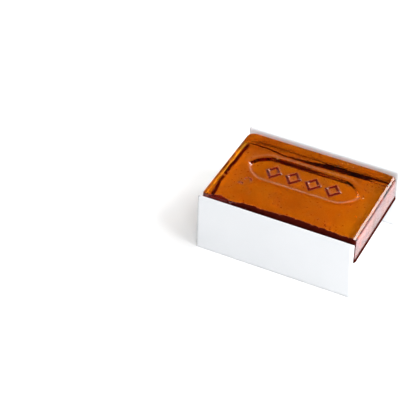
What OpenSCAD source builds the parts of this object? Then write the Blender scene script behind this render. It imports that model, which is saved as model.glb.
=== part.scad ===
// Violin rosin cake on its folded card cradle.
// The cake is a cast block of clear amber resin with a sunk panel in its top face.
// The cradle is one strip of card. Each long side is a double-ply wall that is folded
// over at the top, and a raised shelf joins the two inner plies and carries the cake.
// Origin: on the table under the middle of the cake. +X runs along the cake, from its
// left end to its right end, +Y runs from the front wall to the back wall, +Z is up.

/* [Rosin cake] */
// Length of the cake's top face
cake_len = 50; // [45:0.5:60]
// Width of the cake's top face
cake_wid = 34.5; // [30:0.5:42]
// Thickness of the cake
cake_thk = 8.3; // [6:0.1:12]
// Outward lean of each side face, measured at its foot
draft = 0.8; // [0.3:0.05:1.2]
// Radius of the cake's upright corners
corner_r = 1.4; // [0.9:0.1:3]
// Width of the bevel along the cake's top and bottom edges
bevel = 0.4; // [0.2:0.05:0.6]

/* [Sunk panel] */
// Length of the sunk panel from tip to tip
panel_len = 37.8; // [32:0.2:42]
// Width of the sunk panel
panel_wid = 11.4; // [9:0.2:14]
// Length of each pointed end
panel_tip = 6; // [4:0.2:8]
// Radius of the arcs that meet at each point
panel_arc_r = 10; // [6.5:0.5:20]
// Depth of the sunk panel
panel_depth = 0.6; // [0.2:0.05:0.8]
// Distance from the middle of the cake back to the middle of the panel
panel_shift = 2.5; // [0:0.1:3]
// Number of raised lozenges in the panel
lozenge_count = 4; // [2:1:5]
// Height of a lozenge across the panel
lozenge_h = 6.2; // [4:0.2:7]
// Distance from one lozenge to the next
lozenge_pitch = 6.6; // [6:0.2:7]
// Width of the raised line that draws a lozenge
line_w = 0.7; // [0.4:0.1:1]

/* [Card cradle] */
// Thickness of the card
card = 0.35; // [0.25:0.05:0.5]
// Length of the cradle along the cake
cradle_len = 50.9; // [40:0.1:60]
// Distance from the middle of the cake to the middle of the cradle, to the left
cradle_shift = 0.05; // [0:0.05:0.5]
// Height of the front wall
front_h = 20.4; // [18:0.1:24]
// Height of the back wall
back_h = 21.4; // [18:0.1:24]
// Height of the shelf's upper face above the table
shelf_h = 12.4; // [8:0.1:14]
// Gap between the two plies of a wall
ply_gap = 0.2; // [0.1:0.05:0.4]
// Gap between the cake's foot and each wall
side_gap = 0.1; // [0.05:0.05:0.5]

/* [Hidden] */

// Thin gap under the cake and at each crease, so that pieces that move never bind
clearance = 0.05;
// Radius of the crease bead, half a card thick
crease_r = card / 2;
// Outer radius of the fold over the top of a wall
fold_r = card + ply_gap / 2;
// Distance from the middle plane to the parts of a wall
inner_face = cake_wid / 2 + draft + side_gap;
crease_y = inner_face + card / 2;
fold_y = inner_face + card + ply_gap / 2;
outer_ply = inner_face + card + ply_gap;
// Height of the crease between the shelf and an inner wall
crease_z = shelf_h - card / 2;
// Height of the cake's underside and of its top face
cake_z = shelf_h + clearance;
cake_top = cake_z + cake_thk;

// Points of the arc of radius r from p round to q, bulging to the left of that line
function arc_points(p, q, r, steps = 8) =
    let (
        chord = norm(q - p),
        side = [p.y - q.y, q.x - p.x] / chord,
        centre = (p + q) / 2 - side * sqrt(r * r - chord * chord / 4),
        from = atan2(p.y - centre.y, p.x - centre.x),
        turn = 2 * asin(chord / 2 / r)
    )
    [for (i = [0 : steps]) centre + r * [cos(from - turn * i / steps), sin(from - turn * i / steps)]];

// Outline of the sunk panel: straight sides, and two arcs that meet in a point at each end
module panel_outline() {
    side_x = panel_len / 2 - panel_tip;
    side_y = panel_wid / 2;
    tip = [panel_len / 2, 0];
    polygon(concat(
        arc_points([side_x, side_y], tip, panel_arc_r),
        arc_points(tip, [side_x, -side_y], panel_arc_r),
        arc_points([-side_x, -side_y], -tip, panel_arc_r),
        arc_points(-tip, [-side_x, side_y], panel_arc_r)
    ));
}

// Open lozenge, drawn as a raised line
module lozenge() {
    long = lozenge_h / 2;
    wide = long * 0.8;
    hole = 1 - line_w * 1.6 / long;
    difference() {
        polygon([[wide, 0], [0, long], [-wide, 0], [0, -long]]);
        polygon(hole * [[wide, 0], [0, long], [-wide, 0], [0, -long]]);
    }
}

// Cast block with leaning sides, round upright corners and bevelled edges
module cake_block() {
    reach_x = cake_len / 2 - corner_r;
    reach_y = cake_wid / 2 - corner_r;
    side_h = cake_thk - 2 * bevel;
    foot_r = corner_r + draft;
    hull()
        for (x = [-reach_x, reach_x], y = [-reach_y, reach_y])
            translate([x, y, cake_z]) {
                cylinder(h = bevel, r1 = foot_r - bevel, r2 = foot_r, $fn = 32);
                translate([0, 0, bevel])
                    cylinder(h = side_h, r1 = foot_r, r2 = corner_r, $fn = 32);
                translate([0, 0, bevel + side_h])
                    cylinder(h = bevel, r1 = corner_r, r2 = corner_r - bevel, $fn = 32);
            }
}

module rosin_cake() {
    panel_floor = cake_top - panel_depth;
    color([0.75, 0.36, 0.04, 0.85]) {
        difference() {
            cake_block();
            translate([0, panel_shift, panel_floor])
                linear_extrude(panel_depth + 1) panel_outline();
        }
        for (i = [0 : lozenge_count - 1])
            translate([(i - (lozenge_count - 1) / 2) * lozenge_pitch, panel_shift, panel_floor - 0.1])
                linear_extrude(panel_depth) lozenge();
    }
}

// Flat piece of card that spans the cradle's length, from a low corner in Y and Z
module card_panel(y, z, depth, height) {
    translate([-cradle_len / 2 - cradle_shift, y, z]) cube([cradle_len, depth, height]);
}

// Round bar or bead of card along the cradle
module card_bead(y, z) {
    translate([-cradle_len / 2 - cradle_shift, y, z])
        rotate([0, 90, 0]) cylinder(h = cradle_len, r = crease_r, $fn = 24);
}

// Shelf between the two inner walls, with the bead of each crease along its edges
module shelf() {
    color("white") {
        card_panel(-crease_y, crease_z - card / 2, 2 * crease_y, card);
        card_bead(-crease_y, crease_z);
        card_bead(crease_y, crease_z);
    }
}

// The walls are drawn on the front side, and the back ones are turned to the other side.
// Inner ply, from the shelf's crease up to the fold
module inner_wall(wall_h) {
    foot_z = crease_z + crease_r + clearance;
    color("white")
        card_panel(-inner_face - card, foot_z, card, wall_h - fold_r - foot_z);
}

// Fold over the top of a wall, half a round tube that carries on from the inner ply
module top_fold(wall_h) {
    color("white")
        translate([-cradle_len / 2 - cradle_shift, -fold_y, wall_h - fold_r])
            rotate([90, 0, 90])
                linear_extrude(cradle_len)
                    difference() {
                        circle(r = fold_r, $fn = 48);
                        circle(r = ply_gap / 2, $fn = 48);
                        translate([-fold_r, -2 * fold_r]) square(2 * fold_r);
                    }
}

// Outer ply, which stands on the table and swings up round the fold
module outer_wall(wall_h) {
    color("white")
        card_panel(-outer_ply - card, 0, card, wall_h - 2 * fold_r - clearance);
}

module to_the_back() {
    mirror([0, 1, 0]) children();
}

rosin_cake();
shelf();
inner_wall(front_h);  // front_inner_wall
top_fold(front_h);  // front_top_fold
outer_wall(front_h);  // front_outer_wall
to_the_back() inner_wall(back_h);  // back_inner_wall
to_the_back() top_fold(back_h);  // back_top_fold
to_the_back() outer_wall(back_h);  // back_outer_wall
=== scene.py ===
import math

import bpy
import numpy as np
from mathutils import Matrix, Vector

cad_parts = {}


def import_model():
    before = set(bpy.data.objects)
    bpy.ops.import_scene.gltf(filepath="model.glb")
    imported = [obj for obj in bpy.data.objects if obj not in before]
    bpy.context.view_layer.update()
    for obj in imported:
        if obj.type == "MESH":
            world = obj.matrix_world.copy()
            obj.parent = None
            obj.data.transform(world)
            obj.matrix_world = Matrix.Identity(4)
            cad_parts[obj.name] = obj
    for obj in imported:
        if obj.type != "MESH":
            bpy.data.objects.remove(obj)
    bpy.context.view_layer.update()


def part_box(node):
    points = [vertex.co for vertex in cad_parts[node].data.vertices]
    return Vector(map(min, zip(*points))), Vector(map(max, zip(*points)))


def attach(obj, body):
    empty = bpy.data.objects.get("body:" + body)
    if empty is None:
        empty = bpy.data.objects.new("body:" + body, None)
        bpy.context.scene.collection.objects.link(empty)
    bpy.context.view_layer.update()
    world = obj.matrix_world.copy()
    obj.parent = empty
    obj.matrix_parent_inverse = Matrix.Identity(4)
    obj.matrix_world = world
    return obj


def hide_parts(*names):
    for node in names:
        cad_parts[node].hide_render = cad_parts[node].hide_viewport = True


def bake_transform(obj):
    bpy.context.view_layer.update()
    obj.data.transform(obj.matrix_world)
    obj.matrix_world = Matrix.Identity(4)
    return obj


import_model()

MM = 0.001

# ---------------------------------------------------------------- sizes, in millimetres

cake_low, cake_high = (np.array(corner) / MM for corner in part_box("rosin_cake"))
DRAFT = 0.8                                   # how far each side leans out at the foot
FOOT = cake_high[:2]                          # half the length and width of the foot
TOP = FOOT - DRAFT                            # half the length and width of the top face
CAKE_Z, CAKE_TOP = cake_low[2], cake_high[2]
CORNER_R = (0.85, 2.6)                        # upright corners at the top face, least and most
EDGE_R = (0.4, 0.8)                           # rounding along the top edges, least and most
EDGE_TURNS = (12, 25, 38, 51, 64, 76, 86)     # degrees round a top edge, one for each ring
# Rings of the worn edge over the right end: out from the outline, and down from the top
CHAMFER = ((-0.78, 0.01), (-0.66, 0.05), (-0.45, 0.16), (-0.17, 0.32),
           (-0.04, 0.50), (0.12, 0.84), (0.20, 1.10))
SIDE_RINGS = 14                               # rings down each side face
FOOT_TURNS = (20, 45, 70, 90)                 # degrees round a bottom edge
FOOT_R = (0.1, 0.3)                           # rounding along the bottom edges, least and most
FLARE = 0.45                                  # how far the lip at the right end's foot flares out
FLARE_H = 0.9                                 # height of that lip

PANEL_SHIFT = 2.5                             # the sunk panel's middle, behind the cake's
PANEL_HALF = np.array([18.9, 5.7])            # half the panel's length and width
PANEL_TIP = 6.0                               # length of each pointed end
PANEL_ARC_R = 10.0                            # arcs that meet at each point
PANEL_DEPTH = 0.6
PANEL_WALL = 1.3                              # width of the sloping wall round the panel
PANEL_RIM = 0.22                              # height of the hump round the panel
LOZENGES = 4
LOZENGE_PITCH = 6.6
LOZENGE_HALF = np.array([2.1, 2.7])           # half the size of the line that draws a lozenge
LINE_HALF, LINE_H = 0.7, 0.37                 # half the width of that raised line, and its height
BUBBLES = ((-15.2, -5.3, 1.0), (-16.6, -7.8, 0.6))     # place and radius of the cut bubbles

CARD = 0.35                                   # thickness of the card
SHELF_HALF = FOOT[1] - 0.2                    # half the width of the shelf's flat part
CUT_IN, CUT_OUT = 0.8, 1.2                    # slanted cut at the right end of an outer ply
FLOOR_Z = -0.02


# ---------------------------------------------------------------- small tools

def smooth_step(low, high, x):
    t = np.clip((x - low) / (high - low), 0.0, 1.0)
    return t * t * (3 - 2 * t)


def ramp(low, high, x):
    return np.clip((x - low) / (high - low), 0.0, 1.0)


def hump(x, width):
    return np.exp(-((x / width) ** 2))


def value_noise(x, y, seed):
    """Smooth noise from -1 to 1, with cells 1 wide in x and y."""
    table = np.random.RandomState(seed).uniform(-1, 1, (256, 256))
    xi, yi = np.floor(x).astype(int), np.floor(y).astype(int)
    tx, ty = smooth_step(0, 1, x - xi), smooth_step(0, 1, y - yi)
    a, b = table[xi % 256, yi % 256], table[(xi + 1) % 256, yi % 256]
    c, d = table[xi % 256, (yi + 1) % 256], table[(xi + 1) % 256, (yi + 1) % 256]
    return (a + (b - a) * tx) * (1 - ty) + (c + (d - c) * tx) * ty


def rough_noise(x, y, seed, octaves=4):
    total, size = 0.0, 1.0
    for octave in range(octaves):
        total = total + size * value_noise(x * 2**octave, y * 2**octave, seed + octave)
        size *= 0.5
    return total / 1.9


def box_mm(node):
    """The low and high corners of a node of the CAD model."""
    return (np.array(corner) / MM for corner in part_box(node))


def grid_faces(nx, ny):
    """The quads of a grid of points, and the points round its border in order."""
    index = np.arange(nx * ny).reshape(nx, ny)
    quads = np.stack([index[:-1, :-1], index[1:, :-1], index[1:, 1:], index[:-1, 1:]], -1)
    border = [index[:-1, 0], index[-1, :-1], index[:0:-1, -1], index[0, :0:-1]]
    return quads.reshape(-1, 4), np.concatenate(border)


def make_mesh(name, points_mm, faces, materials):
    """A mesh object from points in millimetres in the row frame."""
    mesh = bpy.data.meshes.new(name)
    mesh.from_pydata((np.asarray(points_mm) * MM).tolist(), [], faces)
    mesh.validate()
    mesh.polygons.foreach_set("use_smooth", [True] * len(mesh.polygons))
    for material in materials:
        mesh.materials.append(material)
    mesh.update()
    piece = bpy.data.objects.new(name, mesh)
    bpy.context.scene.collection.objects.link(piece)
    return piece


def mark_points(piece, name, values):
    """Gives each point of a mesh a number that its material reads by name."""
    layer = piece.data.attributes.new(name, "FLOAT", "POINT")
    layer.data.foreach_set("value", values.astype(np.float32))


def stepped(low, high, step):
    """Places from low to high, each step(place) after the one before, stretched to fit."""
    places = [low]
    while places[-1] < high:
        places.append(places[-1] + step(places[-1]))
    places = np.array(places)
    return low + (places - low) * (high - low) / (places[-1] - low)


# ---------------------------------------------------------------- materials

class Nodes:
    """Builds one material's node tree."""

    def __init__(self, name):
        self.material = bpy.data.materials.new(name)
        self.material.use_nodes = True
        self.tree = self.material.node_tree
        self.shader = self.tree.nodes["Principled BSDF"]
        self.output = self.tree.nodes["Material Output"]
        self.place = self.add("ShaderNodeTexCoord").outputs["Object"]

    def add(self, kind, **settings):
        node = self.tree.nodes.new(kind)
        for name, value in settings.items():
            setattr(node, name, value)
        return node

    def link(self, source, target):
        self.tree.links.new(source, target)

    def stretched(self, stretch):
        mapping = self.add("ShaderNodeMapping")
        mapping.inputs["Scale"].default_value = stretch
        self.link(self.place, mapping.inputs["Vector"])
        return mapping.outputs["Vector"]

    def noise(self, scale, detail=3.0, roughness=0.5, stretch=(1, 1, 1)):
        node = self.add("ShaderNodeTexNoise")
        node.inputs["Scale"].default_value = scale
        node.inputs["Detail"].default_value = detail
        node.inputs["Roughness"].default_value = roughness
        self.link(self.stretched(stretch), node.inputs["Vector"])
        return node.outputs["Fac"]

    def specks(self, scale, size):
        """1 on small round specks, one in each cell, and 0 elsewhere."""
        node = self.add("ShaderNodeTexVoronoi")
        node.inputs["Scale"].default_value = scale
        self.link(self.place, node.inputs["Vector"])
        return self.fit(node.outputs["Distance"], size, size * 0.5, 0, 1)

    def fit(self, source, low, high, to_low, to_high):
        node = self.add("ShaderNodeMapRange")
        node.inputs["From Min"].default_value = low
        node.inputs["From Max"].default_value = high
        node.inputs["To Min"].default_value = to_low
        node.inputs["To Max"].default_value = to_high
        self.link(source, node.inputs["Value"])
        return node.outputs["Result"]

    def math(self, operation, a, b):
        node = self.add("ShaderNodeMath", operation=operation)
        for socket, value in zip(node.inputs, (a, b)):
            if isinstance(value, (int, float)):
                socket.default_value = value
            else:
                self.link(value, socket)
        return node.outputs["Value"]

    def mix(self, factor, a, b):
        node = self.add("ShaderNodeMix", data_type="RGBA")
        sockets = [s for s in node.inputs if s.enabled]
        self.link(factor, sockets[0])
        for socket, value in zip(sockets[1:], (a, b)):
            if isinstance(value, tuple):
                socket.default_value = (*value, 1)
            else:
                self.link(value, socket)
        return next(s for s in node.outputs if s.enabled)

    def bump(self, height, distance, strength=1.0):
        node = self.add("ShaderNodeBump")
        node.inputs["Strength"].default_value = strength
        node.inputs["Distance"].default_value = distance
        self.link(height, node.inputs["Height"])
        self.link(node.outputs["Normal"], self.shader.inputs["Normal"])

    def marks(self, name):
        """A number that the mesh carries at each point."""
        return self.add("ShaderNodeAttribute", attribute_name=name).outputs["Fac"]

    def right_end(self):
        """1 on faces that look along +X, and 0 on the rest."""
        split = self.add("ShaderNodeSeparateXYZ")
        self.link(self.add("ShaderNodeNewGeometry").outputs["Normal"], split.inputs["Vector"])
        return self.fit(split.outputs["X"], 0.9, 0.97, 0, 1)


def rosin_material():
    """Clear amber that absorbs light along its depth, with a pale haze and a painted pink sheen
    on the right end.
    """
    m = Nodes("cast_amber_rosin")
    end = m.right_end()
    streak = m.fit(m.noise(260, 5, 0.6, (1, 0.22, 1.6)), 0.36, 0.66, 0, 1)
    speck = m.math("MULTIPLY", m.specks(600, 0.11), m.fit(m.noise(170, 1), 0.51, 0.54, 0, 1))
    grit = m.math("MULTIPLY", m.specks(700, 0.2), m.fit(m.noise(110, 2), 0.48, 0.56, 0, 1))
    mottle = m.fit(m.math("ADD", m.noise(90, 2), m.noise(2200, 3)), 0.78, 1.22, 0, 1)
    clear = m.mix(mottle, (0.92, 0.78, 0.74), (1.0, 1.0, 1.0))
    clear = m.mix(grit, clear, (0.40, 0.08, 0.02))
    clear = m.mix(speck, clear, (1.0, 0.60, 0.20))
    # The right end: a pale haze, partly rosin dust and partly a painted pink sheen of reflected
    # light, in pink and lavender patches.
    patch = m.fit(m.noise(150, 3, 0.6, (1, 1, 0.4)), 0.42, 0.62, 0, 1)
    clear = m.mix(end, clear, m.mix(patch, (1.0, 0.36, 0.29), (0.80, 0.42, 0.46)))
    # Where the mesh is marked dark, the amber turns opaque dark red-brown: painted shade on the
    # lozenges, the underside's lip and the right end, and the chips along the front edge.
    dark = m.marks("dark")
    tint = m.mix(m.fit(dark, 0, 0.25, 0, 1), clear, (0.13, 0.006, 0.002))
    m.link(tint, m.shader.inputs["Base Color"])
    # The haze and painted sheen dull the clear amber on the right end, in streaks.
    haze_and_sheen = m.math("MULTIPLY", end, m.fit(streak, 0, 1, 0.14, 0.42))
    cover = m.math("MAXIMUM", haze_and_sheen, m.math("MULTIPLY", speck, 0.75))
    cover = m.math("MAXIMUM", cover, m.math("MULTIPLY", grit, 0.2))
    cover = m.math("MAXIMUM", cover, m.math("MULTIPLY", dark, 0.92))
    m.link(m.math("SUBTRACT", 1, cover), m.shader.inputs["Transmission Weight"])
    m.shader.inputs["IOR"].default_value = 1.53
    polish = m.fit(m.noise(300, 4), 0.35, 0.75, 0.02, 0.09)
    m.link(polish, m.shader.inputs["Roughness"])
    grain = m.math("ADD", m.noise(1500, 3), m.math("MULTIPLY", m.noise(300, 2), 1.5))
    m.bump(grain, 0.000012)
    depth = m.add("ShaderNodeVolumeAbsorption")
    depth.inputs["Color"].default_value = (0.998, 0.818, 0.02, 1)
    depth.inputs["Density"].default_value = 400
    m.link(depth.outputs["Volume"], m.output.inputs["Volume"])
    return m.material


def chips_and_shade_material():
    """Opaque dark rosin, partly real chips and partly painted shade, so that no light comes
    through.
    """
    m = Nodes("rosin_chips_and_painted_shade")
    painted_dark = m.mix(m.noise(900, 3), (0.02, 0.001, 0.001), (0.06, 0.006, 0.003))
    m.link(painted_dark, m.shader.inputs["Base Color"])
    m.shader.inputs["Roughness"].default_value = 0.6
    m.shader.inputs["Specular IOR Level"].default_value = 0
    return m.material


def card_material(name, colour, shade):
    """Card in a colour that clouds over into a shade, dark brown where painted shade is marked on
    it.
    """
    m = Nodes(name)
    cloud = m.noise(60, 4)
    fibre = m.noise(900, 4, 0.6, (1, 0.35, 1))
    bare_card = m.mix(m.fit(cloud, 0.3, 0.7, 0, 1), shade, colour)
    m.link(m.mix(m.marks("gap_shade"), bare_card, (0.05, 0.012, 0.004)), m.shader.inputs["Base Color"])
    m.link(m.fit(fibre, 0.3, 0.7, 0.5, 0.7), m.shader.inputs["Roughness"])
    m.shader.inputs["Specular IOR Level"].default_value = 0.35
    m.bump(fibre, 0.00003, 0.5)
    return m.material


ROSIN = rosin_material()
CHIPS_AND_SHADE = chips_and_shade_material()
CARD_FACE = card_material("coated_white_card", (0.715, 0.727, 0.744), (0.69, 0.703, 0.722))
# Painted light: the shelf is the same card as the walls, made whiter so that more light comes up
# through the amber.
SHELF_CARD_BRIGHTER = card_material("shelf_card_painted_brighter", (0.92, 0.92, 0.92), (0.89, 0.89, 0.89))
CARD_CORE = card_material("cut_card_edge", (0.84, 0.84, 0.83), (0.70, 0.70, 0.70))


# ---------------------------------------------------------------- the rosin cake

def panel_distance(x, y):
    """Distance outside the sunk panel's outline, negative inside it."""
    ax, ay = np.abs(x), np.hypot(y - PANEL_SHIFT, 0.5)
    corner = np.array([PANEL_HALF[0] - PANEL_TIP, PANEL_HALF[1]])
    tip = np.array([PANEL_HALF[0], 0.0])
    chord = np.linalg.norm(tip - corner)
    inward = np.array([tip[1] - corner[1], corner[0] - tip[0]]) / chord
    centre = (corner + tip) / 2 + inward * math.sqrt(PANEL_ARC_R**2 - chord**2 / 4)
    arcs = np.hypot(ax - centre[0], ay - centre[1]) - PANEL_ARC_R
    return np.where(ax < corner[0], ay - corner[1], np.maximum(arcs, ay - corner[1]))


def lozenge_distance(x, y):
    """Distance from the nearest lozenge's line."""
    nearest = np.full(np.shape(x), 9.0)
    for i in range(LOZENGES):
        middle = (i - (LOZENGES - 1) / 2) * LOZENGE_PITCH
        wide, long = LOZENGE_HALF
        reach = np.abs(x - middle) / wide + np.abs(y - PANEL_SHIFT) / long
        nearest = np.minimum(nearest, np.abs(reach - 1) / np.hypot(1 / wide, 1 / long))
    return nearest


def top_relief(x, y):
    """Height of the top face over its plane."""
    outside = panel_distance(x, y)
    inside = smooth_step(0, -PANEL_WALL, outside)
    relief = -PANEL_DEPTH * inside + PANEL_RIM * hump(outside - PANEL_WALL / 2, 0.6)
    ridge = np.clip(lozenge_distance(x, y) / LINE_HALF, 0, 1)
    relief = relief + inside * LINE_H * np.cos(ridge * math.pi / 2) ** 2
    relief = relief + 0.03 * rough_noise(x / 9, y / 9, 11, 2)
    wear = front_wear(x)
    relief = relief - 0.08 * smooth_step(wear, wear - 0.6, y + TOP[1])
    for px, py, r in BUBBLES:
        relief = relief - 0.05 * hump(np.hypot(x - px, y - py) - r, 0.22)
    return relief


def top_marks(x, y):
    """Painted shade along the front slopes of the lozenges, and darkness on the far side of each
    bubble ring.
    """
    step = 0.05
    rise = (top_relief(x, y + step) - top_relief(x, y - step)) / (2 * step)
    # Painted shade on the lozenge slopes that face the front.
    lozenges = smooth_step(0.8, 0.4, lozenge_distance(x, y)) * smooth_step(0.05, 0.35, rise)
    rings = 0 * x
    for px, py, r in BUBBLES:
        far_side = smooth_step(-0.9, 0.6, (y - py) / r)
        rings = np.maximum(rings, 0.5 * far_side * hump(np.hypot(x - px, y - py) - r, 0.17))
    return np.maximum(0.75 * lozenges * (panel_distance(x, y) < 0), rings)


def foot_lip(x, y):
    """Places across the lip round the underside, along its back and its left side. Each is
    -1 at the lip's outer foot and 1 at its inner foot."""
    back = np.interp(x, [-25, -17, -12, -5, 2, 12, 19, 25],
                     [16.3, 16.1, 15.1, 15.3, 16, 16.1, 15.8, 15.6])
    half = np.interp(x, [-25, -15, -5, 2, 8, 13, 17, 25],
                     [0.25, 0.3, 0.9, 1.4, 1.3, 0.8, 0.3, 0.2])
    left = np.interp(y, [-18, -10, -5, 2, 14, 18], [-23.4, -23.9, -24.7, -24.9, -24.5, -24.3])
    ragged = 0.12 * rough_noise(x / 2, y / 2, 51, 3)
    return (back - y - ragged) / half, (x + ragged - left) / 0.3


def foot_marks(x, y):
    """Painted shade on the underside, on the left slope of its lip and, fainter, a little outside
    it.
    """
    _, left = foot_lip(x, y)
    slope = 0.6 * smooth_step(1.7, 0.7, np.abs(left)) * smooth_step(16, 14.5, y)
    return np.maximum(slope, 0.1 * smooth_step(0, -1.5, left))


def front_wear(x):
    """How far the chips along the front edge reach in from it."""
    reach = 0.9 - 0.9 * smooth_step(-11, -16, x)
    reach = reach + 0.5 * hump(x - 6, 10) + 1.2 * hump(x + 19.5, 2.5)
    chips = 0.4 * rough_noise(x / 1.3, 0 * x, 21) + 0.25 * rough_noise(x / 0.4, 0 * x, 23, 2)
    return reach + chips


def edge_marks(x, y, z):
    """Darkness of the chipped front edge, partly painted shade where its rounding faces the
    front; of the left end; and painted shade on the lip at the right end's foot and along its
    upright corners.
    """
    # The front band: the chips, with painted shade where the rounded edge faces the front,
    # lighter along a line in its middle.
    to_front = y + TOP[1]
    edge = smooth_step(0.15, -0.15, to_front - front_wear(x))
    strength = 0.5 + 0.5 * smooth_step(-19, -11, x)
    band = 1 - 0.45 * hump(to_front - 0.75, 0.16) * hump(x - 6, 9)
    front = strength * edge * band * smooth_step(CAKE_TOP - 4, CAKE_TOP - 1.8, z)
    # Painted shade along the lip at the right end's foot.
    lip = CAKE_Z + 0.97 + 0.3 * np.maximum(rough_noise(y / 4, 0 * y, 31), 0) - z
    foot = 0.8 * smooth_step(-0.2, 0.15, lip)
    # Painted shade along the right end's upright corners, deepening towards the front corner.
    corner = 0.07 * smooth_step(-13.5, -16.5, y) + 0.53 * smooth_step(-16.5, -17.1, y)
    corner = corner + 0.15 * smooth_step(16.7, 17.1, y)
    left = 0.1 * smooth_step(-24.7, -25, x) * (0.8 + 0.4 * rough_noise(y / 2, z / 2, 71))
    right = np.maximum(foot, corner) * smooth_step(24, 24.8, x)
    return np.maximum(np.maximum(front, left), right)


def foot_relief(x, y):
    """Height of the underside's hollow over its rim. The poured face sank as it set."""
    back, left = foot_lip(x, y)
    hollow = ramp(-1, 1, back) * ramp(-2.5, 2.5, left)
    rim_x, rim_y = FOOT - 1.2
    hollow = hollow * smooth_step(0, 1.6, rim_y + y) * smooth_step(0, 1.6, rim_x - x)
    middle = hump(np.minimum(x - 7, 0), 12) * hump(np.maximum(x - 7, 0), 7)
    deep = 0.28 - 0.08 * smooth_step(5, 14, x) + 0.65 * middle * hump(np.minimum(y - 14.5, 0), 7)
    return 0.04 + hollow * (deep + 0.05 * rough_noise(x / 6, y / 6, 41, 2))


def rosin_cake():
    """One closed mesh: a grid on top, rings down the sides, and the same grid underneath."""
    cap = TOP - EDGE_R[1]
    border = cap - 0.06                       # the last stretch widens towards the foot

    def step_x(x):
        if abs(x) > border[0]:
            return 0.01
        return 0.21 if x < PANEL_HALF[0] + 1 else 0.4

    def step_y(y):
        if abs(y) > border[1]:
            return 0.01
        if y < -TOP[1] + 3:
            return 0.2
        if abs(y - PANEL_SHIFT) < PANEL_HALF[1] + 1.4:
            return 0.19
        if y < 0:
            return 0.2 if -9.3 < y < -4 else 0.6
        return 0.16 if y > 14.6 else 0.35

    xs, ys = stepped(-cap[0], cap[0], step_x), stepped(-cap[1], cap[1], step_y)
    nx, ny = len(xs), len(ys)
    gx, gy = (g.ravel() for g in np.meshgrid(xs, ys, indexing="ij"))
    grid = np.stack([gx, gy], 1)
    to_back_left = smooth_step(4, -4, gx) * smooth_step(-4, 4, gy)
    corner_r = (CORNER_R[0] + (CORNER_R[1] - CORNER_R[0]) * to_back_left)[:, None]
    inner = np.clip(grid, corner_r - TOP, TOP - corner_r)
    out = grid - inner
    length = np.linalg.norm(out, axis=1)
    way = out / np.where(length > 1e-9, length, 1)[:, None]
    share = np.abs(out).max(1)[:, None] / (corner_r - EDGE_R[1])

    def cap_points(offset):
        """The cap in plan, with its border moved to that offset from the top face's outline."""
        return inner + way * share * (corner_r + offset)

    to_right, to_front = smooth_step(20, 24, gx), smooth_step(-11, -15, gy)
    blunt = np.maximum(to_right, to_front * smooth_step(-24, -12, gx))
    edge_r = EDGE_R[0] + (EDGE_R[1] - EDGE_R[0]) * blunt
    top = cap_points(-edge_r[:, None])
    top_z = CAKE_TOP + top_relief(top[:, 0], top[:, 1])
    foot_r = FOOT_R[0] + (FOOT_R[1] - FOOT_R[0]) * to_right
    bottom = cap_points(DRAFT - foot_r[:, None] - 0.03)
    bottom_z = CAKE_Z + foot_relief(bottom[:, 0], bottom[:, 1])

    quads, loop = grid_faces(nx, ny)
    plan, way, corner_r = inner[loop], way[loop], corner_r[loop]
    edge = plan + way * corner_r
    dip = (top_z - CAKE_TOP)[loop]
    ripple = 0.05 * rough_noise((edge[:, 0] + edge[:, 1]) / 2.5, edge[:, 1] / 2.5, 61, 3)
    flare = FLARE * smooth_step(22, 25, edge[:, 0])
    edge_r, foot_r = edge_r[loop], foot_r[loop]
    end = smooth_step(24.0, 24.6, edge[:, 0])
    rings = []
    for turn, (out, drop) in zip(np.radians(EDGE_TURNS), CHAMFER):
        offset = (1 - end) * edge_r * (math.sin(turn) - 1) + end * out
        z = CAKE_TOP - (1 - end) * edge_r * (1 - math.cos(turn)) - end * drop
        rings.append((offset, z + dip * (1 - turn / math.pi)))
    side_top = CAKE_TOP - (1 - end) * edge_r - end * CHAMFER[-1][1]
    for t in np.linspace(0, 1, SIDE_RINGS + 1)[1:]:
        z = side_top + (CAKE_Z + foot_r - side_top) * t
        lip = smooth_step(CAKE_Z + FLARE_H, CAKE_Z + 0.2, z)
        wave = ripple * math.sin(math.pi * t)
        lean = (DRAFT - flare) * t + flare * lip
        rings.append((lean + wave + end * CHAMFER[-1][0] * (1 - t), z))
    for turn in np.radians(FOOT_TURNS):
        offset = DRAFT - foot_r * (1 - math.cos(turn))
        rings.append((offset, CAKE_Z + foot_r * (1 - math.sin(turn))))

    points = [np.column_stack([top, top_z])]
    for offset, z in rings:
        points.append(np.column_stack([plan + way * (corner_r + offset[:, None]), z]))
    points.append(np.column_stack([bottom, bottom_z]))
    n_loop, first = len(loop), nx * ny
    loops = [loop] + [first + n_loop * k + np.arange(n_loop) for k in range(len(rings))]
    base = first + n_loop * len(rings)
    loops.append(base + loop)
    faces = [quads, base + quads[:, ::-1]]
    for a, b in zip(loops, loops[1:]):
        faces.append(np.stack([a, b, np.roll(b, -1), np.roll(a, -1)], 1))
    faces = np.concatenate(faces)
    # Marks for the material: chips and painted shade on the edges, painted shade on the lozenges
    # and the underside.
    chips_and_shade = np.concatenate([edge_marks(*ring.T) for ring in points[:-1]] + [0 * bottom[:, 0]])
    dark = chips_and_shade.copy()
    dark[:nx * ny] = np.maximum(dark[:nx * ny], top_marks(*top.T))
    dark[-nx * ny:] = foot_marks(*bottom.T)
    piece = make_mesh("cast_rosin_cake", np.concatenate(points), faces.tolist(), [ROSIN, CHIPS_AND_SHADE])
    mark_points(piece, "dark", dark)
    # The most strongly marked faces take the opaque dark material.
    opaque = (chips_and_shade[faces].mean(1) > 0.6).astype(np.int32)
    piece.data.polygons.foreach_set("material_index", opaque)
    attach(piece, "cake")
    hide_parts("rosin_cake")


# ---------------------------------------------------------------- the card cradle

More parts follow.
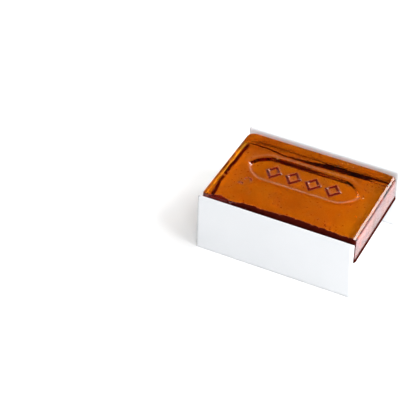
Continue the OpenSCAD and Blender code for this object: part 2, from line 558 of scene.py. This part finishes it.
def card_sheet(name, path, low, high, material=CARD_FACE):
    """A sheet of card: the middle line of its section in Y and Z, drawn out along X.
    The ends are one place each, or one for each point of the section."""
    path = np.asarray(path, float)
    ahead = np.gradient(path, axis=0)
    side = np.stack([-ahead[:, 1], ahead[:, 0]], 1)
    side /= np.linalg.norm(side, axis=1)[:, None]
    share = np.linspace(0, 1, 90)[:, None]
    nx, ny = len(share), len(path)
    x = (low + (high - low) * share) * np.ones(ny)
    layers = []
    for sign in (0.5, -0.5):
        section = path + side * CARD * sign
        y, z = (np.tile(place, (nx, 1)) for place in section.T)
        layers.append(np.stack([x, y, z], -1).reshape(-1, 3))
    quads, loop = grid_faces(nx, ny)
    other = nx * ny
    ahead_loop = np.roll(loop, -1)
    rim = np.stack([loop, loop + other, ahead_loop + other, ahead_loop], 1)
    faces = np.concatenate([quads, quads[:, ::-1] + other, rim]).tolist()
    piece = make_mesh(name, np.concatenate(layers), faces, [material, CARD_CORE])
    for polygon in piece.data.polygons[2 * len(quads):]:
        polygon.use_smooth = False
        polygon.material_index = 1
    return piece


def wall(side, name):
    """The double-ply wall on one side, -1 for the front and 1 for the back."""
    where = "front" if side < 0 else "back"
    low, high = box_mm(f"{where}_inner_wall")
    _, fold_high = box_mm(f"{where}_top_fold")
    out_low, out_high = box_mm(f"{where}_outer_wall")
    inner_y = abs(low[1] + high[1]) / 2
    outer_y = abs(out_low[1] + out_high[1]) / 2
    fold_y, fold_r = (inner_y + outer_y) / 2, (outer_y - inner_y) / 2
    fold_z = fold_high[2] - fold_r - CARD / 2
    path = [(inner_y, z) for z in np.linspace(low[2], fold_z, 28)]
    path += [(fold_y - fold_r * math.cos(t), fold_z + fold_r * math.sin(t))
             for t in np.linspace(0, math.pi, 11)[1:-1]]
    path += [(outer_y, z) for z in np.linspace(fold_z, 0, 24)]
    path = np.array(path)
    down = np.clip((fold_z - path[:, 1]) / fold_z, 0, 1) * (path[:, 0] > outer_y - 0.01)
    cut = smooth_step(0, 0.04, down)
    path[:, 0] *= side
    right = high[0] - CUT_IN * cut + CUT_OUT * down
    piece = card_sheet(name, path, low[0] - 0.3 * down, right)
    places = np.empty(3 * len(piece.data.vertices))
    piece.data.vertices.foreach_get("co", places)
    x, y, z = places.reshape(-1, 3).T / MM
    # Painted shade on the inner face of the back wall's inner ply, low down in the narrow gap
    # beside the cake, with a ragged top edge.
    touching = (side > 0) * (np.abs(y) < inner_y) * smooth_step(24.5, 23.5, x)
    reach = 1.4 + 1.6 * smooth_step(19, 15, x)
    gap_shade = smooth_step(reach, reach - 0.8, z - low[2] + 0.4 * rough_noise(x / 2.5, 0 * x, 81))
    mark_points(piece, "gap_shade", touching * gap_shade)
    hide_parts(f"{where}_inner_wall", f"{where}_top_fold", f"{where}_outer_wall")
    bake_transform(piece)


def crease(side, name):
    """The bend between the shelf and a wall's inner ply."""
    where = "front" if side < 0 else "back"
    low, high = box_mm("shelf")
    wall_low, wall_high = box_mm(f"{where}_inner_wall")
    y, z = abs(wall_low[1] + wall_high[1]) / 2, (low[2] + high[2]) / 2
    bend = wall_low[2] - z
    path = [(side * SHELF_HALF, z)]
    path += [(side * (y - bend + bend * math.sin(t)), z + bend - bend * math.cos(t))
             for t in np.linspace(0, math.pi / 2, 9)]
    piece = card_sheet(name, path, wall_low[0], wall_high[0])
    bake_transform(piece)


def shelf():
    """The flat shelf under the cake, between its two creases."""
    low, high = box_mm("shelf")
    z = (low[2] + high[2]) / 2
    path = [(y, z) for y in np.linspace(-SHELF_HALF, SHELF_HALF, 40)]
    piece = card_sheet("card_shelf", path, low[0], high[0], SHELF_CARD_BRIGHTER)
    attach(piece, "shelf")
    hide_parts("shelf")


rosin_cake()
shelf()
crease(-1, "front_shelf_bend")
crease(1, "back_shelf_bend")
wall(-1, "front_card_wall")
wall(1, "back_card_wall")


# ---------------------------------------------------------------- stage, lights and camera

def stage():
    """A wide white floor."""
    floor = Nodes("pale_floor")
    floor.shader.inputs["Base Color"].default_value = (0.75, 0.75, 0.75, 1)
    floor.shader.inputs["Roughness"].default_value = 1
    floor.shader.inputs["Specular IOR Level"].default_value = 0
    floor.shader.inputs["Emission Color"].default_value = (1, 1, 1, 1)
    floor.shader.inputs["Emission Strength"].default_value = 0.3
    size = 4000
    corners = [(-size, -size), (size, -size), (size, size), (-size, size)]
    points = [(x, y, FLOOR_Z) for x, y in corners]
    plane = make_mesh("floor", points, [(0, 1, 2, 3)], [floor.material])


def softbox(name, azimuth, elevation, width, height, radiance):
    """A soft area light 1 m away, with its azimuth counted from +X towards +Y."""
    a, e = math.radians(azimuth), math.radians(elevation)
    place = Vector((math.cos(e) * math.cos(a), math.cos(e) * math.sin(a), math.sin(e)))
    light = bpy.data.lights.new(name, "AREA")
    light.shape = "RECTANGLE"
    light.size, light.size_y = width, height
    light.energy = radiance * math.pi * width * height
    lamp = bpy.data.objects.new(name, light)
    lamp.location = place
    lamp.rotation_euler = place.to_track_quat("Z", "Y").to_euler()
    bpy.context.scene.collection.objects.link(lamp)


def world():
    """A dark room that is paler near the horizon."""
    sky = bpy.data.worlds.new("dim_studio")
    sky.use_nodes = True
    tree = sky.node_tree
    place = tree.nodes.new("ShaderNodeTexCoord")
    split = tree.nodes.new("ShaderNodeSeparateXYZ")
    fade = tree.nodes.new("ShaderNodeMapRange")
    fade.inputs["From Min"].default_value = math.sin(math.radians(8))
    fade.inputs["From Max"].default_value = math.sin(math.radians(24))
    fade.inputs["To Min"].default_value = 0.9
    fade.inputs["To Max"].default_value = 0.02
    tree.links.new(place.outputs["Generated"], split.inputs["Vector"])
    tree.links.new(split.outputs["Z"], fade.inputs["Value"])
    tree.links.new(fade.outputs["Result"], tree.nodes["Background"].inputs["Strength"])
    tree.nodes["Background"].inputs["Color"].default_value = (0.94, 0.97, 1, 1)
    bpy.context.scene.world = sky


def camera():
    """Looks down on the part from its front right."""
    data = bpy.data.cameras.new("camera")
    data.sensor_width = 36
    data.lens = 140.8
    data.clip_start, data.clip_end = 0.01, 20
    cam = bpy.data.objects.new("camera", data)
    forward = Vector((-0.33556, 0.69311, -0.63797)).normalized()
    level = forward.cross(Vector((0, 0, 1))).normalized()
    upward = level.cross(forward)
    roll = math.radians(0.977)
    right = math.cos(roll) * level + math.sin(roll) * upward
    up = -math.sin(roll) * level + math.cos(roll) * upward
    turn = Matrix((right, up, -forward)).transposed()
    cam.matrix_world = Matrix.Translation(Vector((134.88, -348.93, 322.68)) * MM) @ turn.to_4x4()
    bpy.context.scene.collection.objects.link(cam)
    bpy.context.scene.camera = cam


stage()
softbox("key", -64, 42, 0.5, 0.5, 6.6)
softbox("right", -7, 37, 0.6, 0.6, 8.8)
softbox("back_right", 62, 36, 0.6, 0.5, 9.6)
softbox("back_left", 158, 20, 0.36, 0.28, 1.5)
world()
camera()
bpy.context.scene.view_settings.view_transform = "Standard"
